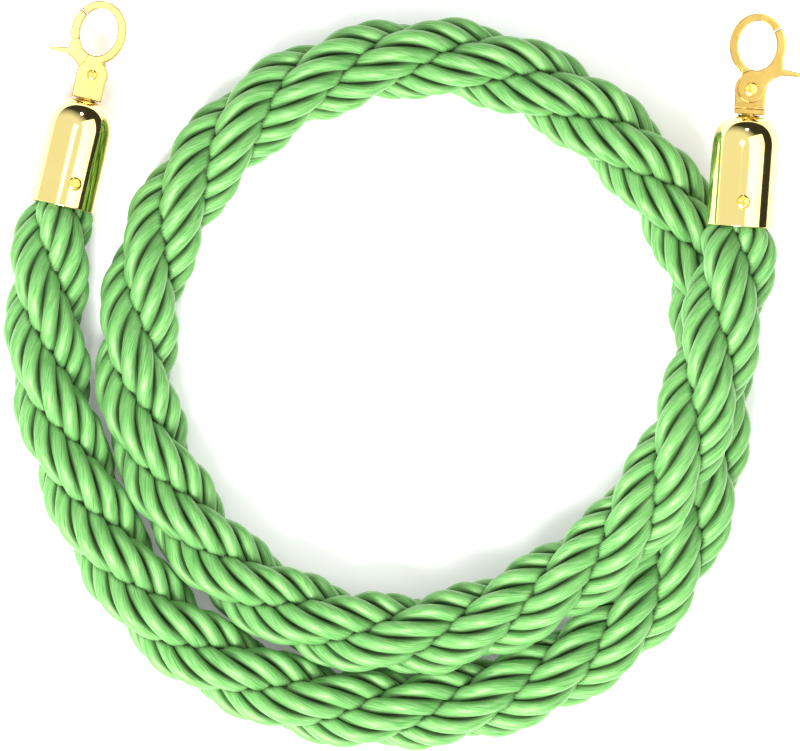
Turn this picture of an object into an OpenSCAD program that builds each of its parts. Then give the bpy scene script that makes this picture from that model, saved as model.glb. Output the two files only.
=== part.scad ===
// Twisted barrier rope with domed end caps and swivelling trigger snap hooks.
// The rope lies on the floor in a loop and a half, and its right end crosses over the loop.
// Frame: +Z up, the floor at z = 0, the hooks at the +Y side.

/* [Rope] */
// Diameter of the rope where nothing squeezes it
rope_d = 32; // [24:0.5:32]
// Length of rope held inside each end cap
rope_depth = 33; // [20:1:34]
// Thickness of the binding round each rope end
binding_t = 0.7; // [0.4:0.1:1.5]

/* [End caps] */
// Outer diameter of an end cap
cap_d = 28; // [24:0.5:34]
// Length of an end cap from its mouth to its flat top
cap_len = 44.5; // [40:0.5:60]
// Wall thickness of an end cap
cap_wall = 1; // [0.6:0.1:1.6]
// Height of the domed part of an end cap
dome_h = 12; // [8:0.5:16]
// Diameter of the flat top of the dome
dome_flat_d = 11; // [10:0.5:14]

/* [Cap screws] */
// Distance of the screw from the mouth of the cap
screw_setback = 10; // [6:0.5:16]
// Diameter of the screw's thread
screw_d = 3; // [2:0.1:4]
// Length of the screw under its head
screw_len = 6; // [4:0.5:8]
// Diameter of the screw's pan head
screw_head_d = 5.8; // [4.5:0.1:7]
// Height of the screw's pan head
screw_head_h = 1.5; // [1:0.1:2.5]

/* [Swivels] */
// Diameter of the swivel stud
stud_d = 6; // [5:0.1:7.2]
// Diameter of the stud's head inside the cap
stud_head_d = 10; // [8.5:0.1:12]
// Height of the stud's head
stud_head_h = 2; // [1.5:0.1:3]
// Diameter of the stud's tenon in the foot of the hook
tenon_d = 3.6; // [2.5:0.1:4]
// Thickness of the washer under the dome
washer_t = 1; // [0.6:0.1:1.5]
// Diameter of the thrust washer between the dome and the hook
thrust_d = 9; // [8:0.5:10.5]
// Thickness of the thrust washer
thrust_t = 0.8; // [0.5:0.1:1.5]

/* [Hooks] */
// Width of the hook's foot and shank
shank_w = 12.4; // [11:0.1:15]
// Height of the hook's foot
foot_h = 2.2; // [2:0.1:3]
// Height of the gate's pivot above the top of the cap
pivot_h = 11.3; // [10.8:0.1:13]
// Thickness of the plate behind the gate
plate_t = 2.2; // [1.6:0.1:3]
// Width of the eye's opening
eye_w = 15.6; // [12:0.2:19]
// Height of the eye's opening
eye_h = 20; // [16:0.2:25]
// Width of the bar round the eye
bar_w = 3.6; // [2.6:0.1:4.4]

/* [Gates] */
// Thickness of the gate at its hub
gate_t = 2.8; // [2.6:0.1:3.6]
// Diameter of the gate's hub
hub_d = 11; // [10:0.1:12]
// Reach of the thumb tab from the hook's centreline
tab_reach = 19.3; // [16:0.1:23]
// Thickness of the thumb tab
tab_t = 1.5; // [1:0.1:2.5]
// Diameter of the rivet that the gate turns on
rivet_d = 3; // [2:0.1:3.4]
// Diameter of the rivet's front head
rivet_head_d = 5.6; // [4.4:0.1:7]
// Height of each rivet head
rivet_head_h = 1.1; // [0.7:0.1:1.6]
// Diameter of the spring's wire
wire_d = 0.7; // [0.4:0.05:0.75]

/* [Hidden] */
$fn = 64;

gold = [0.93, 0.76, 0.33];
steel = [0.62, 0.62, 0.64];
rope_green = [0.43, 0.80, 0.45];
binding_white = [0.90, 0.90, 0.86];

// Radial gap of a part that turns on a pin, and the gap between faces that slide
pin_gap = 0.05;
face_gap = 0.2;
// Gap between the closed gate and the tip of the hook
tip_gap = 0.3;

// The washer under the dome stays this far inside the edge of the flat top
washer_margin = 0.2;
washer_d = dome_flat_d - 2 * washer_margin;

rope_r = rope_d / 2;
cap_r = cap_d / 2;
cap_bore_r = cap_r - cap_wall;
binding_bore_r = cap_bore_r - binding_t;

// Where the drawing's centre lies in the part's frame
drawing_origin = [-0.05, -0.5, 0];

// How each cap lies: its mouth, its lean to the right of +Y and its dip towards the floor, negative if it rises
cap_rest_gap = 1.2;
right_mouth_rise = 31;
left_mouth = [-140.4, 70.1, cap_r + cap_rest_gap];
left_lean = 13.4;
left_dip = 0;
right_mouth = [138.9, 60.9, rope_r + right_mouth_rise];
right_lean = 4;
right_dip = -3;
// Angle of each screw round its cap, from the top to the right, and turn of each hook
left_screw_turn = 18;
right_screw_turn = -3;
left_hook_turn = 180;
right_hook_turn = 0;

// Axis of a cap that leans and dips by these angles
function cap_axis(lean, dip) = [sin(lean) * cos(dip), cos(lean) * cos(dip), -sin(dip)];

// Route of the rope between the caps: x, y and the rise above lying on the floor
laid_route = [
    [-146, 36, 0], [-145, -1, 0], [-135, -37, 0], [-120, -70, 0], [-99, -100, 0],
    [-70, -121, 0], [-35, -135, 0], [0, -138, 0], [36, -133, 0], [71, -119, 0],
    [99, -96, 0], [118, -65, 0], [127, -30, 0], [130, 7, 0], [126, 43, 0],
    [110, 75, 0], [85, 102, 0], [54, 122, 0], [19, 131, 0], [-17, 128, 0],
    [-51, 114, 0], [-78, 90, 0], [-98, 59, 0], [-108, 25, 0], [-108, -12, 0.05],
    [-96, -46, 0.2], [-75, -76, 1.2], [-45, -97, 4], [-11, -106.5, 9], [24, -103.5, 11],
    [56.5, -90.5, 15], [86, -69.5, 21], [107.5, -42.5, 29], [122, -11, 33], [131.5, 21.5, 33],
    [136, 42.5, 32],
];
route = concat(
    [left_mouth + rope_depth * cap_axis(left_lean, left_dip), left_mouth],
    [for (p = laid_route) [p.x, p.y, p.z + rope_r]],
    [right_mouth, right_mouth + rope_depth * cap_axis(right_lean, right_dip)]
);
last = len(route) - 1;

// A smooth curve through four neighbouring points, at share t between the middle two
function spline(a, b, c, d, t) =
    (2 * b + (c - a) * t + (2 * a - 5 * b + 4 * c - d) * t * t
        + (3 * b - a - 3 * c + d) * t * t * t) / 2;
function route_at(i, t) =
    spline(route[max(i - 1, 0)], route[i], route[i + 1], route[min(i + 2, last)], t);

// Two rings to each stretch of the route, and a straight run inside each cap
rings_each = 2;
centres = concat(
    [route[0]],
    [for (i = [1 : last - 2]) for (k = [0 : rings_each - 1]) route_at(i, k / rings_each)],
    [route[last - 1], route[last]]
);
ring_last = len(centres) - 1;
rope_sides = 12;
// The binding bites this far into the rope
bite = 0.05;
squeezed_r = binding_bore_r + bite;
swelling_r = squeezed_r + (rope_r - squeezed_r) * 0.85;
function ring_r(i) =
    let (step = min(i, ring_last - i))
    step < 2 ? squeezed_r : (step == 2 ? swelling_r : rope_r);

function unit(v) = v / norm(v);
function run_at(i) = unit(centres[min(i + 1, ring_last)] - centres[max(i - 1, 0)]);
function ring_side(i) =
    i < 2 ? unit(cross(route[0] - route[1], [0, 0, 1]))
    : i > ring_last - 2 ? unit(cross(route[last - 1] - route[last], [0, 0, 1]))
    : unit(cross(-run_at(i), [0, 0, 1]));
function ring_up(i) =
    i < 2 ? unit(cross(ring_side(i), route[0] - route[1]))
    : i > ring_last - 2 ? unit(cross(ring_side(i), route[last - 1] - route[last]))
    : unit(cross(ring_side(i), -run_at(i)));
function ring_points(i) = [
    for (k = [0 : rope_sides - 1])
        let (turn = 360 * k / rope_sides)
        centres[i] + ring_r(i) * (cos(turn) * ring_side(i) + sin(turn) * ring_up(i))
];

// Faces of a tube of n rings with s points each, closed at both ends
function tube_faces(n, s) = concat(
    [[for (k = [0 : s - 1]) k]],
    [for (i = [0 : n - 2]) for (k = [0 : s - 1])
        [i * s + k, (i + 1) * s + k, (i + 1) * s + (k + 1) % s, i * s + (k + 1) % s]],
    [[for (k = [s - 1 : -1 : 0]) (n - 1) * s + k]]
);

module rope() {
    rings = [for (i = [0 : ring_last]) each ring_points(i)];
    color(rope_green)
        translate(drawing_origin)
            polyhedron(rings, tube_faces(ring_last + 1, rope_sides), convexity = 10);
}

// Puts its children in a cap's frame: the mouth at 0, +Z towards the hook, -Y upwards
module on_cap(mouth, lean, dip) {
    translate(drawing_origin + mouth)
        rotate([0, 0, -lean])
            rotate([-90 - dip, 0, 0])
                children();
}

module on_left_cap() {
    on_cap(left_mouth, left_lean, left_dip) children();
}

module on_right_cap() {
    on_cap(right_mouth, right_lean, right_dip) children();
}

// Puts its children in a hook's frame: the cap's flat top at 0, the gate at +X, its front at -Y
module on_left_hook() {
    on_left_cap() translate([0, 0, cap_len]) rotate([0, 0, left_hook_turn]) children();
}

module on_right_hook() {
    on_right_cap() translate([0, 0, cap_len]) rotate([0, 0, right_hook_turn]) children();
}

// Half section of a domed shell with its flat top at height top
arc_step = 7.5;
function dome_side(r, flat_r, base, rise) =
    [for (a = [0 : arc_step : 90]) [flat_r + (r - flat_r) * cos(a), base + rise * sin(a)]];

module cap_shell() {
    base = cap_len - dome_h;
    flat_r = dome_flat_d / 2;
    outside = dome_side(cap_r, flat_r, base, dome_h);
    inside = dome_side(cap_bore_r, flat_r, base, dome_h - cap_wall);
    count = len(inside);
    rotate_extrude()
        polygon(concat(
            [[cap_bore_r, 0], [cap_r, 0]],
            outside,
            [[stud_d / 2 + pin_gap, cap_len], [stud_d / 2 + pin_gap, cap_len - cap_wall]],
            [for (i = [count - 1 : -1 : 0]) inside[i]]
        ));
}

// A bar along the screw's line, from radius r1 out to radius r2
module screw_bar(turn, d, r1, r2) {
    translate([0, 0, screw_setback])
        rotate([0, 0, turn])
            rotate([90, 0, 0])
                translate([0, 0, r1])
                    cylinder(d = d, h = r2 - r1);
}

module cap(turn) {
    color(gold)
        difference() {
            cap_shell();
            screw_bar(turn, screw_d + 2 * pin_gap, cap_bore_r - 1, cap_r + 1);
        }
}

module end_binding(turn) {
    end_margin = 1.5;
    color(binding_white)
        difference() {
            translate([0, 0, end_margin])
                difference() {
                    cylinder(r = cap_bore_r, h = rope_depth - 2 * end_margin);
                    translate([0, 0, -1])
                        cylinder(r = binding_bore_r, h = rope_depth);
                }
            screw_bar(turn, screw_d + 2 * pin_gap, binding_bore_r - 1, cap_bore_r + 1);
        }
}

module cap_screw(turn) {
    slot_w = screw_head_d * 0.16;
    slot_l = screw_head_d * 0.6;
    slot_depth = screw_head_h * 0.6;
    color(gold) {
        screw_bar(turn, screw_d, cap_r - screw_len, cap_r);
        translate([0, 0, screw_setback])
            rotate([0, 0, turn])
                rotate([90, 0, 0])
                    translate([0, 0, cap_r])
                        difference() {
                            domed_disc(screw_head_d / 2, screw_head_h);
                            for (a = [0, 90])
                                rotate([0, 0, a])
                                    translate([-slot_l / 2, -slot_w / 2, screw_head_h - slot_depth])
                                        cube([slot_l, slot_w, screw_head_h]);
                        }
    }
}

// A head of radius r and height h: a short straight rim under a low dome
module domed_disc(r, h) {
    rim = h * 0.35;
    rotate_extrude()
        polygon(concat(
            [[0, 0], [r, 0]],
            [for (a = [0 : 15 : 90]) [r * cos(a), rim + (h - rim) * sin(a)]]
        ));
}

module washer(d, t) {
    difference() {
        cylinder(d = d, h = t);
        translate([0, 0, -1])
            cylinder(r = stud_d / 2 + pin_gap, h = t + 2);
    }
}

module swivel_washer() {
    color(steel)
        translate([0, 0, cap_len - cap_wall - washer_t])
            washer(washer_d, washer_t);
}

module thrust_washer() {
    color(gold)
        translate([0, 0, cap_len])
            washer(thrust_d, thrust_t);
}

foot_z = thrust_t + face_gap;

module swivel_stud() {
    head_top = -cap_wall - washer_t - face_gap;
    color(gold) {
        translate([0, 0, head_top - stud_head_h])
            cylinder(d = stud_head_d, h = stud_head_h);
        translate([0, 0, head_top])
            cylinder(d = stud_d, h = foot_z - head_top);
        translate([0, 0, foot_z])
            cylinder(d = tenon_d, h = foot_h);
    }
}

// The hook's plate lies from y = 0 to its thickness, and the gate in front of it
gate_back = -face_gap / 2;
gate_front = gate_back - gate_t;
bar_back = plate_t;
hub_r = hub_d / 2;
shank_r = shank_w / 2 + 0.3;
pivot = [0, pivot_h];
// Centre of the eye: its foot stands just above the shank's round top
eye_x = 1.3;
eye_wall = 1.3;
eye_centre = [eye_x, pivot_h + shank_r + eye_wall + eye_h / 2];
eye_a = eye_w / 2;
eye_b = eye_h / 2;
// The bar is a little thinner over the top of the eye
top_bar_w = bar_w - 0.5;

eye_step = 6;

// A point on the inside (s = 0) or the outside (s = 1) of the bar, at angle a round the eye
function eye_point(a, s) =
    eye_centre + [(eye_a + s * bar_w) * cos(a), (eye_b + s * top_bar_w) * sin(a)];
function eye_arc(a1, a2, s) =
    let (count = ceil(abs(a2 - a1) / eye_step))
    [for (k = [0 : count]) eye_point(a1 + (a2 - a1) * k / count, s)];

tip_angle = 38;
bar_end_angle = 235;
plate_end_angle = 285;

// A flat piece with an outline in X and Z, from y = back forwards by t
module slab(back, t) {
    translate([0, back, 0])
        rotate([90, 0, 0])
            linear_extrude(t)
                children();
}

// A round hole or pin along Y on the gate's pivot, from y = back forwards by t
module on_pivot(back) {
    translate([pivot.x, back, pivot.y])
        rotate([90, 0, 0])
            children();
}

module bar_outline(a1, a2) {
    polygon(concat(eye_arc(a1, a2, 1), eye_arc(a2, a1, 0)));
}

module hook_body() {
    full_t = bar_back - gate_front;
    color(gold)
        difference() {
            union() {
                slab(bar_back, full_t)
                    bar_outline(tip_angle, bar_end_angle);
                slab(bar_back, plate_t) {
                    bar_outline(bar_end_angle - 30, plate_end_angle);
                    translate(pivot)
                        circle(r = shank_r);
                    translate([-shank_w / 2, foot_z])
                        square([shank_w, pivot_h - foot_z]);
                }
                slab(bar_back, full_t)
                    translate([-shank_w / 2, foot_z])
                        square([shank_w, foot_h]);
            }
            translate([0, 0, foot_z - 1])
                cylinder(d = tenon_d, h = foot_h + 1);
            on_pivot(bar_back + 1)
                cylinder(d = rivet_d, h = plate_t + 2);
        }
}

// The gate's arm ends just short of the hook's tip, and its tab stands out beside the hub
gate_tip_angle = tip_angle - 180 * tip_gap / (PI * (eye_a + bar_w / 2));
arm_foot_angle = -62;
arm_full_angle = -24;
arm_mid_angle = -20;
tab_root_x = eye_centre.x + eye_a + bar_w - 0.4;
tab_z = pivot_h + 7;

module gate_outline() {
    translate(pivot)
        circle(r = hub_r);
    polygon(concat(
        [pivot + [-hub_r * cos(20), hub_r * sin(20)], pivot + [-4.2, 5.9], pivot + [-1.4, 7.7]],
        [pivot + [2.4, 7.7]],
        eye_arc(arm_foot_angle, arm_mid_angle, 0),
        [eye_point(arm_mid_angle, 1), [tab_root_x, pivot_h + 9]],
        [[tab_reach, tab_z + tab_t / 2], [tab_reach, tab_z - tab_t / 2]],
        [[tab_root_x, pivot_h + 6.4], pivot + [9, 4.9], pivot + [6.6, 2.6]],
        [pivot + [hub_r * cos(10), -hub_r * sin(10)]]
    ));
}

module hook_gate() {
    pocket_depth = gate_t - 0.8;
    color(gold)
        difference() {
            union() {
                slab(gate_back, gate_t)
                    gate_outline();
                slab(bar_back, bar_back - gate_front)
                    bar_outline(arm_full_angle, gate_tip_angle);
            }
            on_pivot(1)
                cylinder(r = rivet_d / 2 + pin_gap, h = gate_t + 3);
            on_pivot(gate_back + 1)
                cylinder(r = spring_r + wire_d / 2 + 0.6, h = pocket_depth + 1);
        }
}

module gate_rivet() {
    color(gold) {
        on_pivot(bar_back)
            cylinder(d = rivet_d, h = bar_back - gate_front + face_gap);
        on_pivot(gate_front - face_gap / 2)
            domed_disc(rivet_head_d / 2, rivet_head_h);
        on_pivot(bar_back)
            mirror([0, 0, 1])
                domed_disc(rivet_d * 0.73, rivet_head_h);
    }
}

// The closing spring: a turn and a half of wire in the pocket behind the gate
spring_r = rivet_d / 2 + 1.3;
spring_turns = 1.5;
spring_pitch = wire_d + 0.1;
spring_steps = 16;
spring_sides = 6;

function coil_point(a, depth, out) = [
    pivot.x + (spring_r + out) * cos(a),
    gate_back - 0.1 - wire_d / 2 - depth,
    pivot.y + (spring_r + out) * sin(a),
];

module gate_spring() {
    count = ceil(spring_turns * spring_steps);
    rings = [for (i = [0 : count]) for (k = [0 : spring_sides - 1])
        let (a = 360 * i / spring_steps, turn = 360 * k / spring_sides)
        coil_point(a, spring_pitch * a / 360 + sin(turn) * wire_d / 2, cos(turn) * wire_d / 2)];
    color(steel)
        polyhedron(rings, tube_faces(count + 1, spring_sides), convexity = 6);
}

rope();

on_left_cap() cap(left_screw_turn);  // left_cap
on_left_cap() cap_screw(left_screw_turn);  // left_cap_screw
on_left_cap() end_binding(left_screw_turn);  // left_end_binding
on_left_cap() swivel_washer();  // left_swivel_washer
on_left_cap() thrust_washer();  // left_thrust_washer
on_left_hook() swivel_stud();  // left_swivel_stud
on_left_hook() hook_body();  // left_hook_body
on_left_hook() gate_rivet();  // left_gate_rivet
on_left_hook() gate_spring();  // left_gate_spring
on_left_hook() hook_gate();  // left_hook_gate

on_right_cap() cap(right_screw_turn);  // right_cap
on_right_cap() cap_screw(right_screw_turn);  // right_cap_screw
on_right_cap() end_binding(right_screw_turn);  // right_end_binding
on_right_cap() swivel_washer();  // right_swivel_washer
on_right_cap() thrust_washer();  // right_thrust_washer
on_right_hook() swivel_stud();  // right_swivel_stud
on_right_hook() hook_body();  // right_hook_body
on_right_hook() gate_rivet();  // right_gate_rivet
on_right_hook() gate_spring();  // right_gate_spring
on_right_hook() hook_gate();  // right_hook_gate
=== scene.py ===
import math

import bpy
import numpy as np
from mathutils import Matrix, Vector


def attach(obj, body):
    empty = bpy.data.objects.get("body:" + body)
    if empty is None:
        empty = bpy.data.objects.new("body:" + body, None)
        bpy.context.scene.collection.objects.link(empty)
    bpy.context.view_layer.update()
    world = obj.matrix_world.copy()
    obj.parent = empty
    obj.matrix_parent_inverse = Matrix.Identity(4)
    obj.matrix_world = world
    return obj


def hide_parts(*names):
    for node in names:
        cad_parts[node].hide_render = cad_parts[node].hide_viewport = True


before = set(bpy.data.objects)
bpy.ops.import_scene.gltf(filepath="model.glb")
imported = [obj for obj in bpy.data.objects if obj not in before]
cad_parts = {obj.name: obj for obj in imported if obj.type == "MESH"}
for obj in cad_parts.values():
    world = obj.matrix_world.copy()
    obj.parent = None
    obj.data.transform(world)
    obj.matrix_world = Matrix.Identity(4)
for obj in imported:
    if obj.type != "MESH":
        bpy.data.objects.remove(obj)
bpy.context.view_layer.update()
# Named sizes are in millimetres unless marked. Blender's own settings are in metres.
MM = 0.001

# Camera. It hangs two metres above the rope and looks straight down through a long lens,
# so that the loop is seen with hardly any perspective.
view_w = 331.2 * MM
camera_height = 2.0  # metres
sensor_w = 36
look_at = Vector((-0.05, -0.5, 16)) * MM
bpy.ops.object.camera_add(location=look_at + Vector((0, 0, camera_height)), rotation=(0, 0, 0))
camera = bpy.context.object
camera.name = "camera"
camera.data.sensor_width = sensor_w
camera.data.lens = sensor_w * camera_height / view_w
camera.data.clip_start = 0.05
camera.data.clip_end = 20
bpy.context.scene.camera = camera

# Rope. Three thick strands of satin viscose yarn, laid up left-handed round each other. Six fat
# yarns are twisted the other way in each strand, so they run nearly along the rope outside.
# Where two stretches touch, and on the floor, the soft strands are pressed flat.
rope_d = 32
rope_r = rope_d / 2
held_len = 33  # of the rope, in each cap

# The way the rope lies from its left mouth to its right one: x, y and its underside's height
laid_route = [
    [-146, 36, 0], [-145, -1, 0], [-135, -37, 0], [-120, -70, 0], [-99, -100, 0],
    [-70, -121, 0], [-35, -135, 0], [0, -138, 0], [36, -133, 0], [71, -119, 0],
    [99, -96, 0], [118, -65, 0], [127, -30, 0], [130, 7, 0], [126, 43, 0],
    [110, 75, 0], [85, 102, 0], [54, 122, 0], [19, 131, 0], [-17, 128, 0],
    [-51, 114, 0], [-78, 90, 0], [-98, 59, 0], [-108, 25, 0], [-108, -12, 0.05],
    [-96, -46, 0.2], [-75, -76, 1.2], [-45, -97, 4], [-11, -106.5, 9], [24, -103.5, 11],
    [56.5, -90.5, 15], [86, -69.5, 21], [107.5, -42.5, 29], [122, -11, 33], [131.5, 21.5, 33],
    [136, 42.5, 32],
]
# Where each cap's mouth lies, and which way the cap points, in degrees. The drawing's zero
# isn't quite the middle of the frame, so drawing_origin shifts every place.
drawing_origin = np.array([-0.05, -0.5, 0])
left_mouth = np.array([-140.4, 70.1, 15.2])
right_mouth = np.array([138.9, 60.9, 47])
left_lean, left_dip = 13.4, 0
right_lean, right_dip = 4, -3


def cap_axis(lean, dip):
    """The way a cap points that leans to the right and dips towards the floor, in degrees."""
    lean, dip = math.radians(lean), math.radians(dip)
    return np.array([math.sin(lean) * math.cos(dip), math.cos(lean) * math.cos(dip), -math.sin(dip)])


def smooth_line(points, step):
    """A line through the points at even steps, with its first and last runs straight."""
    fine = []
    substeps = 40
    last = len(points) - 1
    for i in range(last):
        a, b, c, d = (points[k] for k in (max(i - 1, 0), i, i + 1, min(i + 2, last)))
        for t in np.arange(substeps) / substeps:
            if i in (0, last - 1):
                fine.append(b + (c - b) * t)
            else:
                curve = 2 * b + (c - a) * t + (2 * a - 5 * b + 4 * c - d) * t**2
                fine.append((curve + (3 * b - a - 3 * c + d) * t**3) / 2)
    fine = np.array(fine + [points[last]])
    along = np.concatenate([[0], np.cumsum(np.linalg.norm(np.diff(fine, axis=0), axis=1))])
    at = np.linspace(0, along[-1], int(along[-1] / step) + 1)
    return np.stack([np.interp(at, along, fine[:, k]) for k in range(3)], axis=1), at


def unit(vectors):
    """The vectors at a length of one."""
    return vectors / np.linalg.norm(vectors, axis=-1, keepdims=True)


def evened(values, spread):
    """Values along the rope, blurred over so many steps, with both ends kept."""
    kernel = np.exp(-0.5 * (np.arange(-3 * spread, 3 * spread + 1) / spread) ** 2)
    padded = np.pad(values, 3 * spread, mode="edge")
    return np.convolve(padded, kernel / kernel.sum(), mode="valid")


route = [left_mouth + held_len * cap_axis(left_lean, left_dip), left_mouth]
route += [np.array(p) + [0, 0, rope_r] for p in laid_route]
route += [right_mouth, right_mouth + held_len * cap_axis(right_lean, right_dip)]
ring_step = 1.25
middle, along = smooth_line([p + drawing_origin for p in route], ring_step)
rope_len = along[-1]
forward = unit(np.gradient(middle, axis=0))
leftward = unit(np.cross([0, 0, 1], forward))
upward = np.cross(forward, leftward)

# Size of the rope's section along its length: squeezed in the caps, then swelling out
crest_r = 17.7  # from the rope's middle to a strand's outer side
swell_from_cap = [-1.5, 0, 2.5, 8, 15, 24, 33]
swell_share = [0.69, 0.71, 0.86, 0.94, 0.98, 1, 1]
from_cap = np.minimum(along, rope_len - along) - held_len
section_size = evened(np.interp(from_cap, swell_from_cap, swell_share), 1)

# The nearest other stretch of the rope, and how far its middle is
same_stretch = 110  # two points nearer than this along the rope aren't neighbours
far_off = 1000
gap = np.linalg.norm(middle[:, None] - middle[None], axis=2)
gap[np.abs(along[:, None] - along[None]) < same_stretch] = far_off
beside = gap.argmin(axis=1)
beside_gap = gap[np.arange(len(middle)), beside]
beside_way = unit(middle[beside] - middle)


def pressed(points, start, way, limit, softness=0.35):
    """Points pressed back to a plane at a distance limit from start, with a soft edge."""
    reach = ((points - start) * way).sum(axis=-1)
    over = (reach - limit) / softness
    back = softness * np.logaddexp(0, over)
    return points - back[..., None] * way


lay = 106.7  # one whole turn of the strands
lay_start = 0.27  # where the first strand starts, as a share of a turn
yarn_lay = 48.0  # one whole turn of the yarns, the other way
yarns = 6
yarn_round = 0.95  # at 1, a yarn's sides would end upright
sides = 84  # points round one strand
strand_off = 7.4  # from the rope's middle to a strand's middle
strand_r = crest_r - strand_off
slit_depth = 4.7  # between two yarns
slit_inner, slit_more_outside = 0.75, 0.35  # shares of slit_depth
wall_gap = -0.9  # neighbouring strands sink into each other
wall_softness = 0.25
touch_gap = 0.12  # half the gap left between two stretches that touch
touch_margin = 1  # stretches further apart than their crests and this aren't pressed
floor_gap = 0.25
uneven_yarn, uneven_run = 0.05, 14  # share of a yarn's swell, and over how many rings
wander_turn, wander_run = 0.10, 30  # radians, and over how many rings
# Painted shade: the colour is darkened in the slits between yarns and in the grooves where strands
# meet, as their shade.
shade_base, shade_outside, shade_swell = 1.1, 0.85, 2.4  # how dark a slit gets
pinch_start, pinch_run = 0.4, 1.6  # how far the shadow between two strands reaches
uv_per_mm = 0.1
# A strand has a third of the rope's round, up to 60 degrees on each hand of its middle
third_sin, third_cos = math.sin(math.pi / 3), math.cos(math.pi / 3)


def strand(name, number, seed):
    """One strand: a lobed tube, wound round the rope's middle and held between its neighbours."""
    rng = np.random.default_rng(seed)
    count = len(middle)
    turn = 2 * math.pi * (lay_start + number / 3) - 2 * math.pi * along / lay
    out = np.cos(turn)[:, None] * leftward + np.sin(turn)[:, None] * upward
    round_way = -np.sin(turn)[:, None] * leftward + np.cos(turn)[:, None] * upward
    side = np.arange(sides) / sides
    yarn_at = (side * yarns) % 1 * 2 - 1
    swell = np.sqrt(1 - (yarn_round * yarn_at) ** 2)
    swell = (swell - swell.min()) / (1 - swell.min())
    # each yarn is a little fuller or flatter from place to place
    drift = [evened(rng.normal(0, 1, count), uneven_run) for _ in range(yarns)]
    fullness = np.stack(drift, axis=1)
    fullness = 1 + uneven_yarn * fullness / fullness.std()
    fullness = fullness[:, (side * yarns).astype(int)]
    wander = evened(rng.normal(0, 1, count), wander_run)
    wander *= wander_turn / wander.std()
    angle = 2 * math.pi * side[None] + (2 * math.pi * along / yarn_lay + wander)[:, None]
    # the yarns spring apart on the strand's outer side and close up towards its neighbours
    outer = 0.5 + 0.5 * np.cos(angle)
    open_depth = slit_depth * (slit_inner + slit_more_outside * outer)
    radius = strand_r - open_depth * (1 - swell[None] * fullness)
    x = strand_off + radius * np.cos(angle)
    y = radius * np.sin(angle)
    # the neighbouring strands hold it in a third of the rope's round
    # this mask marks painted shade in the grooves where the neighbouring strands press in
    wall_shade = np.zeros_like(x)
    for _ in range(2):
        for hand in (1, -1):
            inside = x * third_sin - hand * y * third_cos
            back = wall_softness * np.logaddexp(0, (wall_gap - inside) / wall_softness)
            x += back * third_sin
            y -= back * hand * third_cos
            wall_shade = np.maximum(wall_shade, np.clip(1 - (inside + pinch_start) / pinch_run, 0, 1))
    x *= section_size[:, None]
    y *= section_size[:, None]
    points = middle[:, None] + x[..., None] * out[:, None] + y[..., None] * round_way[:, None]
    touching = beside_gap < 2 * crest_r + touch_margin
    points[touching] = pressed(points[touching], middle[touching][:, None],
                               beside_way[touching][:, None],
                               beside_gap[touching][:, None] / 2 - touch_gap)
    points = pressed(points, np.zeros(3), np.array([0, 0, -1.0]), -floor_gap, softness=0.2)
    # painted shade in the slits between yarns, strongest on the strand's outer side, joined with
    # that in the grooves
    slit_shade = np.clip(shade_base + shade_outside * outer - swell[None] * shade_swell, 0, 1)
    painted_shade = np.clip(np.maximum(slit_shade, wall_shade), 0, 1)

    mesh = bpy.data.meshes.new(name)
    ring, k = np.meshgrid(np.arange(count - 1), np.arange(sides), indexing="ij")
    nxt = (k + 1) % sides
    quads = np.stack([ring * sides + k, ring * sides + nxt,
                      (ring + 1) * sides + nxt, (ring + 1) * sides + k], axis=-1).reshape(-1, 4)
    ends = [list(range(sides))[::-1], [(count - 1) * sides + i for i in range(sides)]]
    mesh.from_pydata((points.reshape(-1, 3) * MM).tolist(), [], quads.tolist() + ends)
    uv = mesh.uv_layers.new(name="yarn")
    u = np.stack([k, k + 1, k + 1, k], axis=-1).reshape(-1) / sides * yarns
    v = np.stack([along[ring], along[ring], along[ring + 1], along[ring + 1]], axis=-1).reshape(-1)
    flat = np.zeros((len(mesh.loops), 2), np.float32)
    flat[: len(u), 0] = u
    flat[: len(u), 1] = v * uv_per_mm
    uv.data.foreach_set("uv", flat.ravel())
    # the painted shade goes to the material as an attribute
    shade = mesh.attributes.new("painted_shade", "FLOAT", "POINT")
    shade.data.foreach_set("value", painted_shade.astype(np.float32).ravel())
    mesh.polygons.foreach_set("use_smooth", [True] * len(quads) + [False] * 2)
    mesh.update()
    piece = bpy.data.objects.new(name, mesh)
    bpy.context.scene.collection.objects.link(piece)
    return piece


first_seed = 40
strands = [strand(f"rope_strand_{i + 1}", i, first_seed + i) for i in range(3)]


def link(tree, start, end):
    """Joins one node's output to another's input; each is given as (node, socket name)."""
    tree.links.new(start[0].outputs[start[1]], end[0].inputs[end[1]])


def add(tree, kind, values=None, **settings):
    """A new node, with its settings and the numbers on its inputs."""
    made = tree.nodes.new(kind)
    for key, value in settings.items():
        setattr(made, key, value)
    for key, value in (values or {}).items():
        made.inputs[key].default_value = value
    return made


satin = bpy.data.materials.new("satin_yarn")
satin.use_nodes = True
tree = satin.node_tree
shader = tree.nodes["Principled BSDF"]
place = add(tree, "ShaderNodeUVMap", uv_map="yarn")
stretch = add(tree, "ShaderNodeMapping", {"Rotation": (0, 0, -0.10), "Scale": (26, 1.1, 1)})
fibre = add(tree, "ShaderNodeTexNoise", {"Scale": 1, "Detail": 3, "Roughness": 0.6})
streaks = add(tree, "ShaderNodeValToRGB")
streaks.color_ramp.elements[0].position = 0.3
streaks.color_ramp.elements[0].color = (0.018, 0.180, 0.022, 1)
streaks.color_ramp.elements[1].position = 0.7
streaks.color_ramp.elements[1].color = (0.200, 0.42, 0.145, 1)
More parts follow.
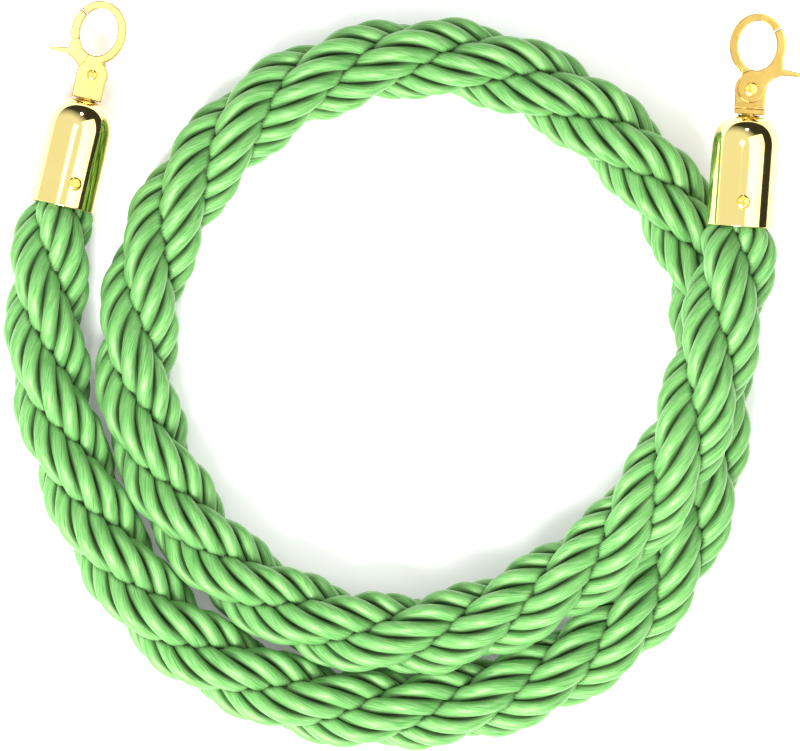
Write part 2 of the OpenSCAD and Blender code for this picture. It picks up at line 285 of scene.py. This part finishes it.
# Painted shade: the attribute darkens the colour towards near black in the slits between yarns and
# the grooves between strands, and makes them duller.
painted_shade = add(tree, "ShaderNodeAttribute", attribute_name="painted_shade")
shade_power = add(tree, "ShaderNodeMath", {1: 1.2}, operation="POWER")
shadow = add(tree, "ShaderNodeMix", {"B": (0.0005, 0.014, 0.001, 1)}, data_type="RGBA")
dulled = add(tree, "ShaderNodeMapRange", {"To Min": 0.40, "To Max": 1})
bump = add(tree, "ShaderNodeBump", {"Strength": 0.35, "Distance": 0.0004})
link(tree, (place, "UV"), (stretch, "Vector"))
link(tree, (stretch, "Vector"), (fibre, "Vector"))
link(tree, (fibre, "Fac"), (streaks, "Fac"))
link(tree, (painted_shade, "Fac"), (shade_power, 0))
link(tree, (shade_power, "Value"), (shadow, "Factor"))
link(tree, (streaks, "Color"), (shadow, "A"))
link(tree, (shadow, "Result"), (shader, "Base Color"))
link(tree, (shade_power, "Value"), (dulled, "Value"))
link(tree, (dulled, "Result"), (shader, "Roughness"))
link(tree, (fibre, "Fac"), (bump, "Height"))
link(tree, (bump, "Normal"), (shader, "Normal"))
shader.inputs["Specular IOR Level"].default_value = 0.85
shader.inputs["Specular Tint"].default_value = (0.72, 1, 0.46, 1)
shader.inputs["Sheen Weight"].default_value = 0.28
shader.inputs["Sheen Roughness"].default_value = 0.45
shader.inputs["Sheen Tint"].default_value = (0.6, 1, 0.4, 1)
for piece in strands:
    piece.data.materials.append(satin)
    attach(piece, "rope_and_caps")
    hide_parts("rope")


# End caps. Each is drawn from thin brass-plated sheet: a straight sleeve, a rounded dome and a
# small flat top with the swivel's hole. Its mouth is open, and the rope is pushed 33 mm in.
cap_r, cap_wall, cap_len = 14, 1, 44.5
dome_h, flat_r, stud_hole_r = 12, 5.5, 3.05
cap_sides, lip, edge_round = 96, 1.0, 0.3
left_place = (left_mouth, left_lean, left_dip)
right_place = (right_mouth, right_lean, right_dip)


def cap_frame(mouth, lean, dip):
    """Where a cap lies: its mouth at the origin and its axis along Z."""
    heading = Matrix.Rotation(math.radians(-lean), 4, "Z")
    laid_down = Matrix.Rotation(math.radians(-90 - dip), 4, "X")
    return Matrix.Translation(Vector((mouth + drawing_origin) * MM)) @ (heading @ laid_down)


def only(piece):
    """Selects one piece and makes it active."""
    bpy.ops.object.select_all(action="DESELECT")
    piece.select_set(True)
    bpy.context.view_layer.objects.active = piece


def finish_with(piece, kind, **settings):
    """Adds a modifier and applies it."""
    modifier = piece.modifiers.new(kind.lower(), kind)
    for key, value in settings.items():
        setattr(modifier, key, value)
    only(piece)
    bpy.ops.object.modifier_apply(modifier=modifier.name)


def settle(piece, where):
    """Puts a piece in its place and leaves its object at the origin."""
    piece.matrix_world = where
    only(piece)
    bpy.ops.object.transform_apply(location=True, rotation=True, scale=True)


def surface_noise(name):
    """A node group of fine unevenness: a mask and a bump's height at a given scale."""
    group = bpy.data.node_groups.new(name, "ShaderNodeTree")
    group.interface.new_socket("Scale", in_out="INPUT", socket_type="NodeSocketFloat")
    group.interface.new_socket("Mask", in_out="OUTPUT", socket_type="NodeSocketFloat")
    group.interface.new_socket("Height", in_out="OUTPUT", socket_type="NodeSocketFloat")
    start = group.nodes.new("NodeGroupInput")
    end = group.nodes.new("NodeGroupOutput")
    where = add(group, "ShaderNodeTexCoord")
    broad = add(group, "ShaderNodeTexNoise", {"Detail": 2, "Roughness": 0.5})
    fine = add(group, "ShaderNodeTexNoise", {"Detail": 4, "Roughness": 0.7})
    times_finer = 9
    finer = add(group, "ShaderNodeMath", {1: times_finer}, operation="MULTIPLY")
    link(group, (where, "Object"), (broad, "Vector"))
    link(group, (where, "Object"), (fine, "Vector"))
    link(group, (start, "Scale"), (broad, "Scale"))
    link(group, (start, "Scale"), (finer, 0))
    link(group, (finer, "Value"), (fine, "Scale"))
    link(group, (broad, "Fac"), (end, "Mask"))
    link(group, (fine, "Fac"), (end, "Height"))
    return group


unevenness = surface_noise("unevenness")


def metal(name, pale, deep, smooth, dull, scale, relief, rim_wear_and_reflection=0):
    """A metal whose colour and polish vary a little; its edges can be darkened to brown, partly as
    worn plating and partly as a painted dark reflection.
    """
    made = bpy.data.materials.new(name)
    made.use_nodes = True
    tree = made.node_tree
    shader = tree.nodes["Principled BSDF"]
    noise = add(tree, "ShaderNodeGroup", node_tree=unevenness)
    noise.inputs["Scale"].default_value = scale
    colour = add(tree, "ShaderNodeMix", {"A": (*deep, 1), "B": (*pale, 1)}, data_type="RGBA")
    polish = add(tree, "ShaderNodeMapRange", {"To Min": smooth, "To Max": dull})
    bump = add(tree, "ShaderNodeBump", {"Strength": relief, "Distance": 0.0001})
    link(tree, (noise, "Mask"), (colour, "Factor"))
    edge = add(tree, "ShaderNodeNewGeometry")
    # brown edges: partly worn plating, partly a painted dark reflection
    wear_and_reflection_mask = add(tree, "ShaderNodeMapRange", {"From Min": 0.505, "From Max": 0.545, "To Max": rim_wear_and_reflection})
    wear_and_reflection_colour = add(tree, "ShaderNodeMix", {"B": (0.16, 0.08, 0.015, 1)}, data_type="RGBA")
    link(tree, (edge, "Pointiness"), (wear_and_reflection_mask, "Value"))
    link(tree, (wear_and_reflection_mask, "Result"), (wear_and_reflection_colour, "Factor"))
    link(tree, (colour, "Result"), (wear_and_reflection_colour, "A"))
    link(tree, (wear_and_reflection_colour, "Result"), (shader, "Base Color"))
    link(tree, (noise, "Mask"), (polish, "Value"))
    link(tree, (polish, "Result"), (shader, "Roughness"))
    link(tree, (noise, "Height"), (bump, "Height"))
    link(tree, (bump, "Normal"), (shader, "Normal"))
    shader.inputs["Metallic"].default_value = 1
    return made


plated_gold = metal("plated_gold", pale=(1.0, 0.85, 0.35), deep=(0.97, 0.78, 0.26),
                    smooth=0.05, dull=0.11, scale=60, relief=0.04)

for side, where in (("left", left_place), ("right", right_place)):
    bpy.ops.mesh.primitive_circle_add(vertices=cap_sides, radius=cap_r * MM, location=(0, 0, 0))
    cap = bpy.context.object
    cap.name = f"{side}_end_cap"
    bpy.ops.object.mode_set(mode="EDIT")
    bpy.ops.mesh.select_all(action="SELECT")
    rings = [(cap_r, lip), (cap_r, cap_len - dome_h - lip)]
    for angle in range(0, 91, 5):
        swing = math.radians(angle)
        rings.append((flat_r + (cap_r - flat_r) * math.cos(swing),
                      cap_len - dome_h + dome_h * math.sin(swing)))
    rings.append((stud_hole_r, cap_len))
    radius, height = cap_r, 0
    for ring_r, ring_z in rings:
        bpy.ops.mesh.extrude_region_move(
            TRANSFORM_OT_translate={"value": (0, 0, (ring_z - height) * MM)})
        bpy.ops.transform.resize(value=(ring_r / radius, ring_r / radius, 1),
                                 center_override=(0, 0, ring_z * MM))
        radius, height = ring_r, ring_z
    bpy.ops.mesh.select_all(action="SELECT")
    bpy.ops.mesh.normals_make_consistent(inside=False)
    bpy.ops.object.mode_set(mode="OBJECT")
    finish_with(cap, "SOLIDIFY", thickness=cap_wall * MM, offset=-1, use_even_offset=True)
    finish_with(cap, "BEVEL", width=edge_round * MM, segments=3, limit_method="ANGLE",
                angle_limit=math.radians(50))
    bpy.ops.object.shade_smooth_by_angle(angle=math.radians(40))
    cap.data.materials.append(plated_gold)
    settle(cap, cap_frame(*where))
    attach(cap, "rope_and_caps")
    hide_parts(f"{side}_cap")

# Cap screws. A short pan-head screw goes through each cap into the rope and holds it in.
# Its head is gold plated, with a cross slot.
screw_gold = metal("screw_gold", pale=(1.0, 0.76, 0.18), deep=(0.85, 0.58, 0.10),
                   smooth=0.12, dull=0.22, scale=500, relief=0.2)


def softened(node, name, voxel, rounds):
    """A copy of a CAD piece with rounded edges, as casting and polishing leave them."""
    piece = bpy.data.objects.new(name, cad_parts[node].data.copy())
    bpy.context.scene.collection.objects.link(piece)
    only(piece)
    bpy.ops.object.mode_set(mode="EDIT")
    bpy.ops.mesh.select_all(action="SELECT")
    bpy.ops.mesh.remove_doubles(threshold=0.002 * MM)
    bpy.ops.object.mode_set(mode="OBJECT")
    finish_with(piece, "REMESH", mode="VOXEL", voxel_size=voxel * MM)
    finish_with(piece, "SMOOTH", factor=0.5, iterations=rounds)
    bpy.ops.object.shade_smooth()
    piece.data.materials.clear()
    return piece


for side in ("left", "right"):
    screw = softened(f"{side}_cap_screw", f"{side}_pan_screw", voxel=0.12, rounds=4)
    screw.data.materials.append(screw_gold)
    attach(screw, "rope_and_caps")
    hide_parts(f"{side}_cap_screw")

# Hooks. Each is a zinc casting, tumbled smooth and gold plated: a foot, a shank plate behind
# the gate and a bar bent round the eye. It turns on the headed stud in the cap's top.
# Its edges are darkened to brown, partly as worn plating and partly as a painted dark reflection.
cast_gold = metal("cast_gold", pale=(0.88, 0.62, 0.19), deep=(0.76, 0.48, 0.10),
                  smooth=0.08, dull=0.18, scale=160, relief=0.12, rim_wear_and_reflection=0.9)
for side in ("left", "right"):
    hook = softened(f"{side}_hook_body", f"{side}_snap_hook", voxel=0.18, rounds=8)
    hook.data.materials.append(cast_gold)
    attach(hook, f"{side}_hook")
    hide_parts(f"{side}_hook_body")

# Gates. Each is cast and plated like its hook, with a round hub, an arm that closes the eye
# and a thumb tab. It turns on a rivet, and a coil spring in its back shuts it.
for side in ("left", "right"):
    gate = softened(f"{side}_hook_gate", f"{side}_spring_gate", voxel=0.18, rounds=8)
    gate.data.materials.append(cast_gold)
    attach(gate, f"{side}_gate")
    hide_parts(f"{side}_hook_gate")
    rivet = softened(f"{side}_gate_rivet", f"{side}_hub_rivet", voxel=0.12, rounds=5)
    rivet.data.materials.append(screw_gold)
    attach(rivet, f"{side}_hook")
    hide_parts(f"{side}_gate_rivet")

# Swivels and springs. The studs and thrust washers are turned brass; the washers inside the
# caps and the springs are plain steel. All keep the shapes of the engineering model.
spring_steel = metal("spring_steel", pale=(0.62, 0.62, 0.64), deep=(0.45, 0.45, 0.48),
                     smooth=0.2, dull=0.35, scale=300, relief=0.2)
for side in ("left", "right"):
    for part, finish in (("swivel_stud", screw_gold), ("thrust_washer", cast_gold),
                         ("swivel_washer", spring_steel), ("gate_spring", spring_steel)):
        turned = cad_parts[f"{side}_{part}"]
        turned.data.materials.clear()
        turned.data.materials.append(finish)

# Bindings. Woven cotton tape is wound round each rope end, so that it doesn't fray in the cap.
tape = bpy.data.materials.new("binding_tape")
tape.use_nodes = True
tree = tape.node_tree
shader = tree.nodes["Principled BSDF"]
where = add(tree, "ShaderNodeTexCoord")
weave = add(tree, "ShaderNodeTexWave", {"Scale": 900, "Distortion": 1.5})
thread = add(tree, "ShaderNodeValToRGB")
thread.color_ramp.elements[0].color = (0.62, 0.62, 0.56, 1)
thread.color_ramp.elements[1].color = (0.85, 0.85, 0.80, 1)
bump = add(tree, "ShaderNodeBump", {"Strength": 0.5, "Distance": 0.0002})
link(tree, (where, "Object"), (weave, "Vector"))
link(tree, (weave, "Fac"), (thread, "Fac"))
link(tree, (thread, "Color"), (shader, "Base Color"))
link(tree, (weave, "Fac"), (bump, "Height"))
link(tree, (bump, "Normal"), (shader, "Normal"))
shader.inputs["Roughness"].default_value = 0.8
for side in ("left", "right"):
    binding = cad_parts[f"{side}_end_binding"]
    binding.data.materials.clear()
    binding.data.materials.append(tape)

# Floor and light. A plain white floor in a studio that is pale above, at the left and in front,
# and dark at the right and behind. The key light hangs at the front left. The floor glows a
# little, so that it stays white. Places and sizes here are in metres, and powers in watts.
floor_w = 30
bpy.ops.mesh.primitive_plane_add(size=floor_w, location=(0, 0, 0))
floor = bpy.context.object
floor.name = "floor"
paint = bpy.data.materials.new("floor_white")
paint.use_nodes = True
shader = paint.node_tree.nodes["Principled BSDF"]
shader.inputs["Base Color"].default_value = (0.9, 0.9, 0.9, 1)
shader.inputs["Roughness"].default_value = 0.9
shader.inputs["Emission Color"].default_value = (1, 1, 1, 1)
shader.inputs["Emission Strength"].default_value = 0.16
floor.data.materials.append(paint)
world = bpy.data.worlds.new("studio")
bpy.context.scene.world = world
world.use_nodes = True
tree = world.node_tree
air = tree.nodes["Background"]
air.inputs["Color"].default_value = (1, 1, 1, 1)
pale_way = (-0.6, -0.55, 0.58)
way = add(tree, "ShaderNodeTexCoord")
pale_side = add(tree, "ShaderNodeVectorMath", {1: pale_way}, operation="DOT_PRODUCT")
room = add(tree, "ShaderNodeMapRange",
           {"From Min": -0.1, "From Max": 0.3, "To Min": 0.04, "To Max": 0.95})
link(tree, (way, "Generated"), (pale_side, 0))
link(tree, (pale_side, "Value"), (room, "Value"))
link(tree, (room, "Result"), (air, "Strength"))
for name, place_m, size, power in (
    ("key_light", (-0.45, -1.0, 1.3), 0.8, 60),
    ("overhead_softbox", (0.86, 0.15, 1.23), 1.3, 11),
    ("small_softbox", (-0.35, 0.3, 1.5), 0.35, 1.1),
    ("back_lamp", (0.1, 1.2, 1.0), 0.15, 3),
):
    bpy.ops.object.light_add(type="AREA", location=place_m)
    lamp = bpy.context.object
    lamp.name = name
    lamp.data.size = size
    lamp.data.energy = power
    lamp.rotation_euler = (-Vector(place_m)).to_track_quat("-Z", "Y").to_euler()
bpy.context.scene.view_settings.view_transform = "Standard"
